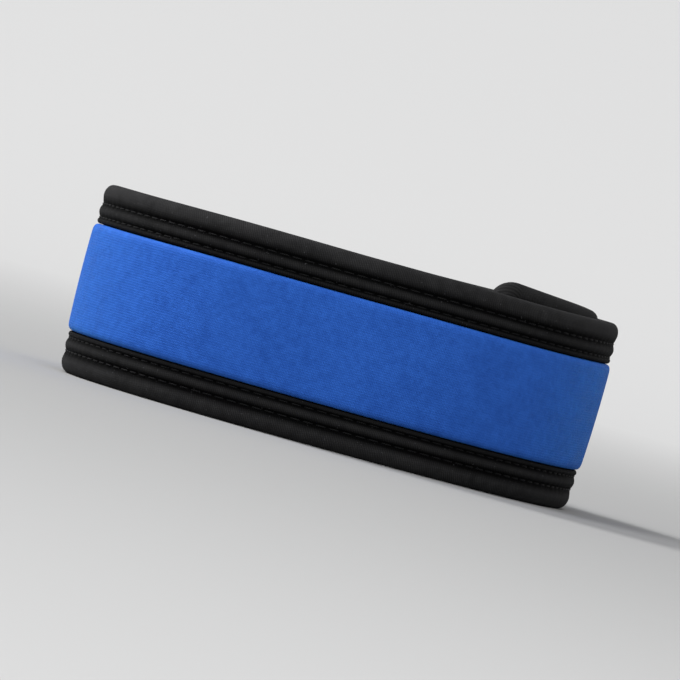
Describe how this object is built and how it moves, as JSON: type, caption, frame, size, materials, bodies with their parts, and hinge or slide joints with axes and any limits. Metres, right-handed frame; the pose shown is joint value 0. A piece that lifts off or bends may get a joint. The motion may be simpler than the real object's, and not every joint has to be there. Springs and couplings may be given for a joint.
{
  "type": "bicep band",
  "caption": "Padded bicep band: a blue-faced neoprene strip bound in black tape, wound round the upper arm and closed on itself by a hidden hook and loop fastening.",
  "frame": {"origin": "the middle of the band's box at its underside, within the ring that the arm goes through", "axes": "+Z along the ring's axis, up the arm towards the shoulder; -Y to the side that the picture sees; +X to the side where the strip's two layers overlap"},
  "size_m": [0.1086, 0.1052, 0.0419],
  "materials": {
    "black_neoprene": "matt black jersey over foam",
    "blue_knit": "smooth blue knit, slightly mottled, with a soft sheen",
    "black_tape": "folded black binding tape with sewn grooves",
    "black_hook_tape": "matt black hook and loop tape"
  },
  "bodies": {
    "root": {"neoprene_strip": "black_neoprene", "blue_panel": "blue_knit", "top_binding": "black_tape", "bottom_binding": "black_tape", "hook_and_loop": "black_hook_tape"}
  },
  "joints": []
}
